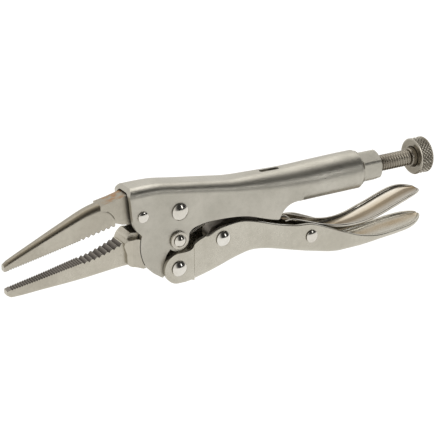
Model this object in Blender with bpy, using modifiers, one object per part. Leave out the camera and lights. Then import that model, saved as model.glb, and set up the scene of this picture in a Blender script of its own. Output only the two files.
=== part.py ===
"""Long-nose locking pliers, an assembly of separate pieces.

The jaws point to -X and the adjusting knob to +X. Y is the thickness, and the
tool is symmetric about Y = 0. It stands on the back of its lower handle at Z = 0.
Dimensions below are in millimetres, and the meshes are made in metres.
"""
from math import atan2, cos, hypot, pi, radians, sin

import bmesh
import bpy
from mathutils import Matrix, Vector

MM = 0.001
GAP = 0.3                       # running gap between neighbouring pieces

# Pivots and axes, (X, Z) in the tool's mid plane
JAW_PIVOT = (-30.6, 25.3)
HANDLE_PIVOT = (-31.4, 12.0)
TOGGLE_PIVOT = (-7.7, 21.4)
LEVER_PIVOT = (41.0, 12.2)
JAW_RIVET_FRONT = (-48.2, 39.9)
JAW_RIVET_REAR = (-29.6, 38.8)
SCREW_Z = 38.0

# Body
SHEET = 2.1
BODY_HALF = 7.8                 # half width of the body at the rivets
SEAM_R = 19.2                   # round edge of the body's plates about the jaw pivot
LOBE_R = 5.6
TUBE_R = 9.4
TUBE_END = 70.8
NECK_APOTHEM = 6.9
NECK_CORNER_R = 7.75
NECK_END = 82.9

# Screw and knob
SCREW_R = 4.0
SCREW_FRONT = 38.0
COLLAR_START = 102.4
COLLAR_R = 4.9
KNOB_R = 9.0
KNOB_START = 105.0
KNOB_END = 112.5
TIP_FRONT = 35.1
TIP_R = 3.3

# Jaws
SHANK_HALF = 4.9                # lower jaw's tongue
UPPER_SHANK_HALF = 3.8
CHEEK_HALF = 7.7
CHEEK_FRONT_HALF = 4.7
CHEEK_FLARE_END = -53.6
COARSE_FROM = -77.0             # coarse teeth lie behind this X, fine ones before it
COARSE_PITCH = 2.4
COARSE_DEPTH = 0.75
FINE_PITCH = 1.6
FINE_DEPTH = 0.35

# Lower handle and release lever
HANDLE_SHEET = 1.8
EAR_OUTER = 9.9
EAR_INNER = EAR_OUTER - HANDLE_SHEET
EAR_R = 7.4
CHANNEL_HALF = 8.9
LEVER_SHEET = 1.5

# Rivets
PIN_R = 2.7                     # shank of the rear, handle and toggle rivets
HOLE_R = PIN_R + GAP
FRONT_PIN_R = 2.0
PIVOT_PIN_R = 2.3
LEVER_PIN_R = 2.0
WASHER_R = 4.3
WASHER_THICK = 1.1

RING_STEPS = 5                  # steps in each quarter round of a section
EDGE_STEPS = 1                  # steps across a jaw's sharp edge
BACK_STEPS = 3                  # steps round each side of a jaw's back
TURN_STEPS = 22                 # sides of a turned piece


# ---------------------------------------------------------------- scene helpers

def clear_scene():
    for thing in list(bpy.data.objects):
        bpy.data.objects.remove(thing, do_unlink=True)


def new_collection(name):
    group = bpy.data.collections.new(name)
    bpy.context.scene.collection.children.link(group)
    return group


def material(name, colour, roughness, metallic=1.0):
    made = bpy.data.materials.new(name)
    made.use_nodes = True
    shader = made.node_tree.nodes["Principled BSDF"]
    shader.inputs["Base Color"].default_value = (*colour, 1.0)
    shader.inputs["Roughness"].default_value = roughness
    shader.inputs["Metallic"].default_value = metallic
    made.diffuse_color = (*colour, 1.0)
    return made


def add_object(name, mesh, group):
    thing = bpy.data.objects.new(name, mesh)
    group.objects.link(thing)
    return thing


def mesh_from_bmesh(name, bm):
    bmesh.ops.recalc_face_normals(bm, faces=bm.faces)
    mesh = bpy.data.meshes.new(name)
    bm.to_mesh(mesh)
    bm.free()
    return mesh


def applied(thing):
    """The object's mesh with its modifiers, welded, in the object's place."""
    bpy.context.view_layer.update()
    evaluated = thing.evaluated_get(bpy.context.evaluated_depsgraph_get())
    mesh = bpy.data.meshes.new_from_object(evaluated)
    bm = bmesh.new()
    bm.from_mesh(mesh)
    bmesh.ops.remove_doubles(bm, verts=bm.verts, dist=0.001 * MM)
    bm.to_mesh(mesh)
    bm.free()
    return mesh


def make_cutter(thing):
    thing.hide_render = True
    thing.display_type = "WIRE"
    return thing


def boolean(thing, other, operation):
    """Applies one exact Boolean and keeps the cutter in its own collection."""
    step = thing.modifiers.new(operation.title(), "BOOLEAN")
    step.operation = operation
    step.solver = "EXACT"
    step.object = other
    mesh = applied(thing)
    thing.modifiers.remove(step)
    thing.data = mesh
    make_cutter(other)
    return thing


def bevelled(thing, width, segments=2, angle=35.0):
    step = thing.modifiers.new("Bevel", "BEVEL")
    step.width = width * MM
    step.segments = segments
    step.limit_method = "ANGLE"
    step.angle_limit = radians(angle)
    step.use_clamp_overlap = True
    mesh = applied(thing)
    thing.modifiers.remove(step)
    thing.data = mesh
    return thing


def finish(thing, surface, smooth_angle=35.0):
    thing.data.materials.clear()
    thing.data.materials.append(surface)
    thing.data.shade_smooth()
    thing.data.set_sharp_from_angle(angle=radians(smooth_angle))
    return thing


# ---------------------------------------------------------------- shape helpers

def arc(centre, radius, start, end, steps):
    """Points along an arc in the XZ plane, angles in degrees from +X to +Z."""
    points = []
    for i in range(steps + 1):
        angle = radians(start + (end - start) * i / steps)
        points.append((centre[0] + radius * cos(angle), centre[1] + radius * sin(angle)))
    return points


def plate(name, outline, low, high, group):
    """A flat outline in XZ between two values of Y."""
    curve = bpy.data.curves.new(name, "CURVE")
    curve.dimensions = "2D"
    curve.fill_mode = "BOTH"
    curve.extrude = 0.5 * (high - low) * MM
    spline = curve.splines.new("POLY")
    spline.points.add(len(outline) - 1)
    for point, (x, z) in zip(spline.points, outline):
        point.co = (x * MM, z * MM, 0.0, 1.0)
    spline.use_cyclic_u = True
    guide = add_object(name + "_curve", curve, group)
    mesh = applied(guide)
    bpy.data.objects.remove(guide, do_unlink=True)
    turn = Matrix.Translation((0.0, 0.5 * (low + high) * MM, 0.0)) @ Matrix.Rotation(pi / 2, 4, "X")
    mesh.transform(turn)
    bm = bmesh.new()
    bm.from_mesh(mesh)
    bmesh.ops.recalc_face_normals(bm, faces=bm.faces)
    bm.to_mesh(mesh)
    bm.free()
    return add_object(name, mesh, group)


def prism(name, outline, low, high, group):
    """A flat outline in XY between two values of Z."""
    bm = bmesh.new()
    floor, roof = [[bm.verts.new((x * MM, y * MM, z * MM)) for x, y in outline] for z in (low, high)]
    bm.faces.new(floor)
    bm.faces.new(roof)
    for i in range(len(outline)):
        j = (i + 1) % len(outline)
        bm.faces.new((floor[i], floor[j], roof[j], roof[i]))
    return add_object(name, mesh_from_bmesh(name, bm), group)


def turned(name, profile, axis, place, group, steps=TURN_STEPS):
    """A profile of (radius, height) points, top to bottom, turned about axis Y or X."""
    mesh = bpy.data.meshes.new(name)
    points = [(radius * MM, 0.0, height * MM) for radius, height in profile]
    edges = [(i, i + 1) for i in range(len(points) - 1)]
    if profile[0][0] > 0.0:
        edges.append((len(points) - 1, 0))
    mesh.from_pydata(points, edges, [])
    thing = add_object(name, mesh, group)
    step = thing.modifiers.new("Screw", "SCREW")
    step.steps = steps
    step.render_steps = steps
    step.use_merge_vertices = True
    step.merge_threshold = 0.00001
    solid = applied(thing)
    thing.modifiers.remove(step)
    thing.data = solid
    if axis == "Y":
        turn = Matrix.Rotation(-pi / 2, 4, "X")
    else:
        turn = Matrix.Rotation(pi / 2, 4, "Y")
    solid.transform(turn)
    bm = bmesh.new()
    bm.from_mesh(solid)
    bmesh.ops.recalc_face_normals(bm, faces=bm.faces)
    bm.to_mesh(solid)
    bm.free()
    thing.location = (place[0] * MM, 0.0, place[1] * MM)
    return thing


def pin_cutter(name, radius, half, place, group):
    """A plain cylinder along Y that cuts a rivet's hole."""
    bm = bmesh.new()
    turn = Matrix.Translation((place[0] * MM, 0.0, place[1] * MM)) @ Matrix.Rotation(pi / 2, 4, "X")
    bmesh.ops.create_cone(bm, cap_ends=True, segments=TURN_STEPS, radius1=radius * MM,
                          radius2=radius * MM, depth=2.0 * half * MM, matrix=turn)
    return add_object(name, mesh_from_bmesh(name, bm), group)


def box(name, low, high, group):
    bm = bmesh.new()
    size = [(b - a) * MM for a, b in zip(low, high)]
    middle = [0.5 * (a + b) * MM for a, b in zip(low, high)]
    place = Matrix.Translation(middle) @ Matrix.Diagonal((*size, 1.0))
    bmesh.ops.create_cube(bm, size=1.0, matrix=place)
    return add_object(name, mesh_from_bmesh(name, bm), group)


def loft(name, rings, group):
    """Bridges rings of (X, Y, Z) points that have equal counts, and caps both ends."""
    bm = bmesh.new()
    rows = [[bm.verts.new(Vector(point) * MM) for point in ring] for ring in rings]
    count = len(rows[0])
    for row, following in zip(rows, rows[1:]):
        for i in range(count):
            j = (i + 1) % count
            bm.faces.new((row[i], row[j], following[j], following[i]))
    bm.faces.new(rows[0])
    bm.faces.new(rows[-1])
    return add_object(name, mesh_from_bmesh(name, bm), group)


def blend(table, x):
    """Smooth interpolation of a table of (X, value) pairs."""
    if x <= table[0][0]:
        return table[0][1]
    for i in range(len(table) - 1):
        (x0, v0), (x1, v1) = table[i], table[i + 1]
        if x <= x1:
            before = table[max(i - 1, 0)]
            after = table[min(i + 2, len(table) - 1)]
            slope0 = (v1 - before[1]) / max(x1 - before[0], 0.001)
            slope1 = (after[1] - v0) / max(after[0] - x0, 0.001)
            t = (x - x0) / (x1 - x0)
            span = x1 - x0
            return ((2 * t ** 3 - 3 * t ** 2 + 1) * v0 + (t ** 3 - 2 * t ** 2 + t) * span * slope0
                    + (3 * t ** 2 - 2 * t ** 3) * v1 + (t ** 3 - t ** 2) * span * slope1)
    return table[-1][1]


def spread(start, end, step):
    """Even stations from start to end, no further apart than step."""
    count = max(1, round((end - start) / step))
    return [start + (end - start) * i / count for i in range(count + 1)]


def round_box_ring(x, half, low, high, r_low, r_high, low_steps=RING_STEPS, high_steps=RING_STEPS):
    """A closed YZ section with round corners at one X."""
    r_low = max(0.05, min(r_low, half - 0.02, 0.5 * (high - low) - 0.01))
    r_high = max(0.05, min(r_high, half - 0.02, 0.5 * (high - low) - 0.01))
    corners = (
        (half - r_high, high - r_high, r_high, 0.0, high_steps),
        (-half + r_high, high - r_high, r_high, 90.0, high_steps),
        (-half + r_low, low + r_low, r_low, 180.0, low_steps),
        (half - r_low, low + r_low, r_low, 270.0, low_steps),
    )
    ring = []
    for y, z, radius, start, steps in corners:
        for i in range(steps + 1):
            angle = radians(start + 90.0 * i / steps)
            ring.append((x, y + radius * cos(angle), z + radius * sin(angle)))
    return ring


def neck_ring(x, apothem, corner):
    """A hexagon with turned corners about the screw's axis, flats facing +Y and -Y."""
    ring = []
    count = 4 * (RING_STEPS + 1)
    for i in range(count):
        angle = 2.0 * pi * (i + 0.5) / count
        sector = (angle + pi / 6) % (pi / 3) - pi / 6
        radius = min(apothem / cos(sector), corner)
        ring.append((x, radius * cos(angle), SCREW_Z + radius * sin(angle)))
    return ring


def channel_ring(x, half, low, rim, sheet, corner, depth=None):
    """A closed U section, open at the top, at one X; depth limits how deep its trough is."""
    inner = half - sheet
    floor = low + sheet if depth is None else max(low + sheet, rim - depth)
    outer_r = max(0.3, min(corner, half - 0.2, rim - low - 0.1))
    inner_r = max(0.15, min(corner - 0.6 * sheet, inner - 0.1, rim - floor - 0.05))
    ring = [(x, half, rim)]
    for i in range(RING_STEPS):
        angle = radians(-90.0 * i / (RING_STEPS - 1))
        ring.append((x, half - outer_r + outer_r * cos(angle), low + outer_r + outer_r * sin(angle)))
    for i in range(RING_STEPS):
        angle = radians(-90.0 - 90.0 * i / (RING_STEPS - 1))
        ring.append((x, -half + outer_r + outer_r * cos(angle), low + outer_r + outer_r * sin(angle)))
    ring.append((x, -half, rim))
    ring.append((x, -inner, rim))
    for i in range(RING_STEPS):
        angle = radians(180.0 + 90.0 * i / (RING_STEPS - 1))
        ring.append((x, -inner + inner_r + inner_r * cos(angle), floor + inner_r + inner_r * sin(angle)))
    for i in range(RING_STEPS):
        angle = radians(270.0 + 90.0 * i / (RING_STEPS - 1))
        ring.append((x, inner - inner_r + inner_r * cos(angle), floor + inner_r + inner_r * sin(angle)))
    ring.append((x, inner, rim))
    return ring


# ---------------------------------------------------------------- upper body

BODY_TOP = ((-58.0, 53.1), (-40.0, 53.0), (-29.0, 51.4), (-12.0, 48.9), (0.0, 47.3),
            (15.0, 46.9), (30.0, 46.7), (45.0, 47.1), (60.0, 47.4), (TUBE_END, 47.4))
BODY_WIDTH = ((-58.0, 7.6), (-30.0, BODY_HALF), (0.0, 8.0), (15.0, 8.4), (30.0, 8.9),
              (45.0, TUBE_R), (TUBE_END, TUBE_R))
BODY_ROUND = ((-58.0, 4.6), (-12.0, 4.8), (0.0, 5.4), (15.0, 6.9), (30.0, 8.3),
              (45.0, 9.2), (TUBE_END, 9.35))
SCOOP_TOP = (34.8, 31.9)
TUBE_BOTTOM = 28.5


def body_outline():
    """The body seen from its side, from its front edge round to its tail."""
    front = [(-52.9, 60.0), (-52.9, 53.0), (-53.6, 51.6), (-54.4, 49.8), (-54.1, 46.9), (-53.3, 38.6),
             (-51.9, 34.2), (-48.95, 31.0)]
    seam = arc(JAW_PIVOT, SEAM_R, 162.6, 215.0, 12)
    foot = [(-43.4, 11.4), (-40.3, 8.7), (-38.5, 6.5), (-37.7, 7.0), (-37.6, 16.8), (-36.4, 19.6)]
    lobe = arc(JAW_PIVOT, LOBE_R, 222.0, 345.0, 9)
    lower = [(-25.0, 27.4), (-22.8, 29.3), (-18.3, 30.5), (-13.5, 30.9), (-4.0, 30.6),
             (3.4, 29.8), (8.6, 28.6), (13.3, 27.0), (18.2, 25.4), (22.4, 24.4)]
    scoop = [(23.1, 24.7), (24.0, 26.6), (25.6, 28.8), (27.6, 30.4), (30.4, 31.5), SCOOP_TOP,
             (36.9, 31.2), (37.8, 26.0)]
    tail = [(95.0, 26.0), (95.0, 60.0)]
    return front + seam + foot + lobe + lower + scoop + tail


def body_shell(name, inset, group):
    """The outer form, or with an inset the hollow inside it."""
    rings = []
    start = -58.0 if inset == 0.0 else -70.0
    channel_low = 2.0 if inset == 0.0 else -10.0
    for x in [start] + spread(-54.0, 30.0, 6.0):
        rings.append(round_box_ring(x, blend(BODY_WIDTH, x) - inset, channel_low,
                                    blend(BODY_TOP, x) - inset, 0.5,
                                    blend(BODY_ROUND, x) - 0.7 * inset))
    for x in (36.5, 44.0, 52.0, 60.0, TUBE_END - 1.3 - inset):
        rings.append(round_box_ring(x, blend(BODY_WIDTH, x) - inset, TUBE_BOTTOM + inset,
                                    blend(BODY_TOP, x) - inset, blend(BODY_ROUND, x) - 0.7 * inset,
                                    blend(BODY_ROUND, x) - 0.7 * inset))
    if inset == 0.0:
        rings.append(round_box_ring(TUBE_END - 0.3, TUBE_R - 0.5, TUBE_BOTTOM + 0.5, 46.9, 8.8, 8.8))
        rings.append(neck_ring(TUBE_END + 1.0, NECK_APOTHEM + 0.7, NECK_CORNER_R + 0.5))
        rings.append(neck_ring(TUBE_END + 1.9, NECK_APOTHEM, NECK_CORNER_R))
        rings.append(neck_ring(NECK_END - 1.0, NECK_APOTHEM, NECK_CORNER_R))
        rings.append(neck_ring(NECK_END, NECK_APOTHEM - 0.9, NECK_CORNER_R - 1.2))
    return loft(name, rings, group)


def upper_body(parts, cutters):
    body = body_shell("upper_body", 0.0, parts)
    boolean(body, plate("body_side_guide", body_outline(), -20.0, 20.0, cutters), "INTERSECT")
    boolean(body, body_shell("body_hollow", SHEET, cutters), "DIFFERENCE")
    bore = turned("neck_bore", [(0.0, 30.0), (SCREW_R + GAP, 30.0), (SCREW_R + GAP, -30.0), (0.0, -30.0)],
                  "X", (85.0, SCREW_Z), cutters)
    boolean(body, bore, "DIFFERENCE")
    slot = box("spring_slot_cutter", (16.8, -1.3, 40.0), (27.2, 1.3, 52.0), cutters)
    boolean(body, bevelled(slot, 0.5), "DIFFERENCE")
    for label, place, pin in (("front", JAW_RIVET_FRONT, FRONT_PIN_R), ("rear", JAW_RIVET_REAR, PIN_R),
                              ("pivot", JAW_PIVOT, PIVOT_PIN_R)):
        boolean(body, pin_cutter("body_hole_" + label, pin + GAP, 15.0, place, cutters), "DIFFERENCE")
    return body


# ---------------------------------------------------------------- jaws

UPPER_EDGE = ((-112.5, 25.3), (-97.0, 28.5), (-77.0, 32.9), (-60.0, 36.8))
UPPER_BACK = ((-112.5, 28.3), (-110.5, 29.7), (-97.0, 35.9), (-84.0, 41.7), (-72.0, 46.6), (-60.0, 49.0))
LOWER_EDGE = ((-111.9, 16.1), (-110.5, 16.6), (-94.2, 19.4), (-79.0, 22.2), (-70.7, 23.6),
              (-63.0, 25.9), (-56.0, 28.6))
LOWER_BACK = ((-111.9, 14.0), (-110.0, 12.7), (-94.5, 13.3), (-78.0, 14.2), (-60.0, 16.0), (-56.0, 16.3))
NOSE_WIDTH = ((-112.5, 1.6), (-110.5, 1.9), (-95.0, 2.5), (-76.0, 3.4), (-57.0, 4.4))


def tooth_stations(start, end):
    """X stations along a jaw's edge, each with how deep the edge is cut there."""
    stations = [(start, 0.0)]
    x = start + 2.0
    deep = False
    while x < end - 0.6:
        coarse = x > COARSE_FROM
        depth = COARSE_DEPTH if coarse else FINE_DEPTH
        stations.append((x, depth if deep else 0.0))
        deep = not deep
        x += 0.5 * (COARSE_PITCH if coarse else FINE_PITCH)
    stations.append((end, 0.0))
    return stations


def upper_jaw(parts, cutters):
    rings = []
    for x, depth in tooth_stations(-112.5, -60.3):
        top = blend(UPPER_BACK, x)
        if x > -66.5:
            top = min(top, 39.6 + 7.6 * (max(0.0, 1.0 - ((x + 66.5) / 6.4) ** 2)) ** 0.5)
        half = blend(NOSE_WIDTH, x)
        rings.append(round_box_ring(x, half, blend(UPPER_EDGE, x) + depth, top, 0.25, 0.34 * half,
                                    EDGE_STEPS, BACK_STEPS))
    jaw = loft("upper_jaw", rings, parts)
    shank = [(-67.0, 41.0), (-67.0, 47.5), (-61.0, 48.6), (-54.0, 50.1), (-48.0, 50.6),
             (-40.0, 50.4), (-33.0, 49.4), (-28.0, 48.4), (-23.5, 47.4), (-22.6, 46.2), (-22.6, 36.0),
             (-24.2, 34.7), (-38.0, 34.7), (-50.0, 35.6), (-56.5, 36.6), (-61.0, 38.4)]
    solid = bevelled(plate("upper_shank", shank, -UPPER_SHANK_HALF, UPPER_SHANK_HALF, cutters), 0.7, 2, 60.0)
    boolean(jaw, solid, "UNION")
    for label, place, pin in (("front", JAW_RIVET_FRONT, FRONT_PIN_R), ("rear", JAW_RIVET_REAR, PIN_R)):
        boolean(jaw, pin_cutter("shank_hole_" + label, pin + GAP, 15.0, place, cutters), "DIFFERENCE")
    return jaw


def lower_jaw(parts, cutters):
    rings = []
    for x, depth in tooth_stations(-111.9, -54.5):
        half = blend(NOSE_WIDTH, x)
        rings.append(round_box_ring(x, half, blend(LOWER_BACK, x), blend(LOWER_EDGE, x) - depth,
                                    0.42 * half, 0.25, BACK_STEPS, EDGE_STEPS))
    jaw = loft("lower_jaw", rings, parts)
    seam = arc(JAW_PIVOT, SEAM_R + GAP, 168.2, 212.0, 12)
    cheek = [(-56.7, 26.6), (-56.1, 28.2), (-54.2, 29.6), (-51.6, 30.0)] + seam
    cheek += [(-48.6, 14.9), (-52.3, 16.5), (-54.9, 17.2), (-55.6, 19.0), (-55.7, 22.6)]
    solid = plate("cheek", cheek, -CHEEK_HALF, CHEEK_HALF, cutters)
    for side in (-1, 1):
        flare = [(-60.0, 9.0 * side), (-60.0, CHEEK_FRONT_HALF * side), (-57.5, CHEEK_FRONT_HALF * side),
                 (CHEEK_FLARE_END, CHEEK_HALF * side), (CHEEK_FLARE_END, 9.0 * side)]
        boolean(solid, prism("cheek_flare", flare, 10.0, 35.0, cutters), "DIFFERENCE")
    boolean(jaw, solid, "UNION")
    tongue = [(-55.0, 18.0), (-55.0, 30.0), (-54.5, 31.4), (-53.2, 32.3), (-48.0, 31.6), (-42.0, 30.6),
              (-38.2, 31.2)]
    tongue += arc(JAW_PIVOT, 7.5, 125.0, 32.0, 6)
    tongue += [(-23.6, 26.6), (-22.4, 24.4), (-22.6, 21.6), (-24.2, 19.4), (-25.2, 16.2)]
    tongue += arc(HANDLE_PIVOT, 6.2, 20.0, -120.0, 8)
    tongue += [(-38.0, 8.3), (-41.2, 10.6), (-44.4, 13.0), (-47.6, 15.2), (-53.0, 17.4)]
    boolean(jaw, plate("tongue", tongue, -SHANK_HALF, SHANK_HALF, cutters), "UNION")
    boolean(jaw, pin_cutter("jaw_boss", 4.3, CHEEK_HALF, HANDLE_PIVOT, cutters), "UNION")
    for side in (-1, 1):
        low, high = sorted((1.3 * side, 8.0 * side))
        notch = box("tab_notch_cutter", (-25.4, low, 17.8), (-20.0, high, 28.0), cutters)
        boolean(jaw, notch, "DIFFERENCE")
    boolean(jaw, pin_cutter("jaw_hole_handle", HOLE_R, 15.0, HANDLE_PIVOT, cutters), "DIFFERENCE")
    boolean(jaw, pin_cutter("jaw_hole_pivot", PIVOT_PIN_R + GAP, 15.0, JAW_PIVOT, cutters), "DIFFERENCE")
    boolean(jaw, pin_cutter("spring_hole_cutter", 0.95, 15.0, SPRING_EYE, cutters), "DIFFERENCE")
    return jaw


# ---------------------------------------------------------------- lower handle

HANDLE_BACK = ((-24.0, 3.6), (-20.0, 4.2), (-12.0, 6.2), (0.0, 9.8), (8.0, 11.3), (15.0, 10.6),
               (22.0, 8.9), (36.6, 4.7), (48.4, 1.7), (53.0, 0.65), (58.0, 0.0))
FLAT_START = 58.0
FLAT_END = 70.0
TAIL_BACK = ((FLAT_END, 0.0), (76.0, 0.4), (88.0, 1.5), (99.0, 2.6), (105.0, 3.5), (110.2, 4.5))
HANDLE_RIM = ((-24.0, 30.0), (-17.0, 24.4), (-9.5, 26.8), (-2.0, 27.9), (2.6, 27.9), (7.0, 27.0),
              (12.2, 25.4), (22.7, 21.8), (32.8, 19.3), (40.7, 18.4), (50.0, 14.7), (60.2, 10.2),
              (70.2, 6.3), (80.3, 4.3), (87.0, 4.3), (95.0, 5.0), (102.0, 5.8), (110.2, 7.2))
TAIL_WIDTH = ((92.0, CHANNEL_HALF), (99.0, 8.6), (104.0, 7.3), (107.5, 5.3), (109.4, 3.4), (110.2, 2.2))


def handle_back(x):
    if x < FLAT_START:
        return blend(HANDLE_BACK, x)
    if x <= FLAT_END:
        return 0.0
    return blend(TAIL_BACK, x)


def lower_handle(parts, cutters):
    rings = []
    for x in (-40.0, -24.2):
        rings.append(channel_ring(x, EAR_OUTER, -6.0, 34.0, HANDLE_SHEET, 3.0))
    rings.append(channel_ring(-22.6, CHANNEL_HALF + 0.1, 3.7, 30.0, HANDLE_SHEET, 3.0))
    stations = spread(-20.0, 44.0, 5.4) + [48.4, 53.0, FLAT_START, FLAT_END] + spread(75.0, 98.0, 5.8)
    stations += [102.0, 105.0, 107.5, 109.2, 110.2]
    for x in stations:
        trough = 20.0 if x < 105.0 else 0.25 + 0.55 * (110.2 - x)
        rings.append(channel_ring(x, blend(TAIL_WIDTH, x), handle_back(x), blend(HANDLE_RIM, x),
                                  HANDLE_SHEET, 3.0, trough))
    handle = loft("lower_handle", rings, parts)
    outline = arc(HANDLE_PIVOT, EAR_R, 96.0, 262.0, 16)
    outline += [(-28.4, 4.6), (-25.0, 5.0), (-22.0, 3.6), (-21.0, -8.0), (120.0, -8.0), (120.0, 40.0),
                (-14.0, 40.0), (-14.8, 25.2), (-18.0, 24.0), (-21.0, 22.8), (-23.4, 21.3), (-25.4, 19.7),
                (-28.6, 19.3)]
    boolean(handle, plate("handle_side_guide", outline, -20.0, 20.0, cutters), "INTERSECT")
    opening = box("ear_opening_cutter", (-50.0, -EAR_INNER, -10.0), (-22.9, EAR_INNER, 40.0), cutters)
    boolean(handle, opening, "DIFFERENCE")
    floor = plate("front_floor_cutter", [(-30.0, -8.0), (-17.5, -8.0), (-17.5, 22.0), (-30.0, 22.0)],
                  -CHANNEL_HALF + HANDLE_SHEET, CHANNEL_HALF - HANDLE_SHEET, cutters)
    boolean(handle, floor, "DIFFERENCE")
    holes = (("pivot", HANDLE_PIVOT, HOLE_R), ("toggle", TOGGLE_PIVOT, HOLE_R), ("lever", LEVER_PIVOT, LEVER_PIN_R + GAP))
    for label, place, radius in holes:
        boolean(handle, pin_cutter("handle_hole_" + label, radius, 15.0, place, cutters), "DIFFERENCE")
    return handle


# ---------------------------------------------------------------- release lever

LEVER_RIM = ((29.5, 20.4), (33.0, 20.9), (38.0, 19.4), (44.0, 17.2), (50.0, 15.0), (60.0, 13.0),
             (70.0, 13.0), (80.0, 15.2), (90.0, 18.4), (97.0, 20.4), (103.0, 21.4), (108.4, 21.2))
LEVER_DEPTH = ((29.5, 2.2), (35.0, 5.0), (41.0, 8.4), (50.0, 6.0), (60.0, 4.2), (70.0, 3.6),
               (85.0, 3.8), (97.0, 3.6), (104.0, 2.9), (108.4, 2.0))
LEVER_WIDTH = ((29.5, 4.2), (34.0, 4.9), (50.0, 5.1), (57.0, 5.6), (66.0, 6.9), (74.0, 8.0), (80.0, 8.5),
               (96.0, 8.5), (101.0, 7.9), (105.0, 6.4), (107.4, 4.4), (108.4, 2.8))


def release_lever(parts, cutters):
    rings = []
    stations = [29.5, 31.0, 33.0] + spread(36.0, 96.0, 4.6) + [99.5, 102.5, 105.0, 107.0, 108.4]
    for x in stations:
        rim = blend(LEVER_RIM, x)
        trough = 20.0 if x < 102.0 else 0.25 + 0.4 * (108.4 - x)
        rings.append(channel_ring(x, blend(LEVER_WIDTH, x), rim - blend(LEVER_DEPTH, x), rim,
                                  LEVER_SHEET, 3.6, trough))
    lever = loft("release_lever", rings, parts)
    boolean(lever, pin_cutter("lever_hole", LEVER_PIN_R + GAP, 15.0, LEVER_PIVOT, cutters), "DIFFERENCE")
    return lever


# ---------------------------------------------------------------- toggle link

LINK_HALF = 3.0
LINK_EYE_R = 4.6
LINK_END_R = 3.0
LINK_END = (30.75, 36.6)


def toggle_link(parts, cutters):
    direction = atan2(LINK_END[1] - TOGGLE_PIVOT[1], LINK_END[0] - TOGGLE_PIVOT[0])
    angle = direction * 180.0 / pi
    outline = arc(TOGGLE_PIVOT, LINK_EYE_R, angle + 100.0, angle + 268.0, 10)
    outline += [(4.0, 22.0), (14.0, 24.6), (22.0, 25.8), (26.0, 26.2), (29.0, 28.2), (30.4, 31.5)]
    outline += arc(LINK_END, LINK_END_R, angle - 75.0, angle + 88.0, 8)
    outline += [(22.0, 37.6), (8.0, 31.4)]
    link = bevelled(plate("toggle_link", outline, -LINK_HALF, LINK_HALF, parts), 0.4, 1, 60.0)
    boolean(link, pin_cutter("link_hole", HOLE_R, 15.0, TOGGLE_PIVOT, cutters), "DIFFERENCE")
    return link


# ---------------------------------------------------------------- turned pieces

def dome(radius, rise, steps=3):
    """Points of a low dome from its crown to its rim, as (radius, height above the rim)."""
    sphere = (radius * radius + rise * rise) / (2.0 * rise)
    reach = atan2(radius, sphere - rise)
    return [(sphere * sin(reach * i / steps), sphere * cos(reach * i / steps) - sphere + rise)
            for i in range(steps + 1)]


def rivet(name, place, shank, head, rise, face, parts):
    """A rivet along Y: two domed heads on a shank, with the heads' undersides at +-face."""
    top = [(radius, height + face + 0.45) for radius, height in dome(head, rise)]
    profile = top + [(head, face), (shank, face)]
    profile += [(radius, -height) for radius, height in reversed(profile)]
    profile[0] = (0.0, profile[0][1])
    profile[-1] = (0.0, profile[-1][1])
    return turned(name, profile, "Y", place, parts)


def washer(name, side, parts):
    face = BODY_HALF + GAP
    bore = PIVOT_PIN_R + GAP
    profile = [(bore, face + WASHER_THICK), (WASHER_R - 0.25, face + WASHER_THICK),
               (WASHER_R, face + WASHER_THICK - 0.25), (WASHER_R, face), (bore, face)]
    ring = turned(name, profile, "Y", JAW_PIVOT, parts)
    if side < 0:
        ring.data.transform(Matrix.Rotation(pi, 4, "Z"))
    return ring


def adjusting_screw(parts):
    profile = [(0.0, 111.9), (3.1, 111.9), (3.5, 111.5), (3.5, 106.2), (COLLAR_R - 0.3, 106.2),
               (COLLAR_R, 105.9), (COLLAR_R, COLLAR_START + 0.4), (COLLAR_R - 0.4, COLLAR_START),
               (SCREW_R, COLLAR_START), (SCREW_R, SCREW_FRONT + 0.6), (SCREW_R - 0.6, SCREW_FRONT),
               (0.0, SCREW_FRONT)]
    return turned("adjusting_screw", profile, "X", (0.0, SCREW_Z), parts)


def screw_knob(parts):
    profile = [(3.8, KNOB_END - 0.4), (KNOB_R - 1.9, KNOB_END - 0.4), (KNOB_R - 1.5, KNOB_END),
               (KNOB_R - 0.7, KNOB_END), (KNOB_R, KNOB_END - 0.7), (KNOB_R, KNOB_START + 1.2),
               (KNOB_R - 1.2, KNOB_START), (KNOB_R - 2.2, KNOB_START), (KNOB_R - 3.2, KNOB_START + 1.6),
               (3.8, KNOB_START + 1.6)]
    return turned("screw_knob", profile, "X", (0.0, SCREW_Z), parts, 40)


def screw_tip(parts):
    back = SCREW_FRONT - GAP
    profile = [(0.0, back), (TIP_R, back), (TIP_R, TIP_FRONT + 0.9), (TIP_R - 0.9, TIP_FRONT),
               (0.0, TIP_FRONT)]
    return turned("screw_tip", profile, "X", (0.0, SCREW_Z), parts)


# ---------------------------------------------------------------- tension spring

SPRING_EYE = (-24.0, 23.2)
SPRING_WIRE_R = 0.55
SPRING_COIL_R = 1.75
SPRING_TURNS = 9
SPRING_START = (-12.5, 28.4)
SPRING_END = (9.5, 40.2)
SPRING_HOOK = (20.6, 44.9)
TURN_POINTS = 8


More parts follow.
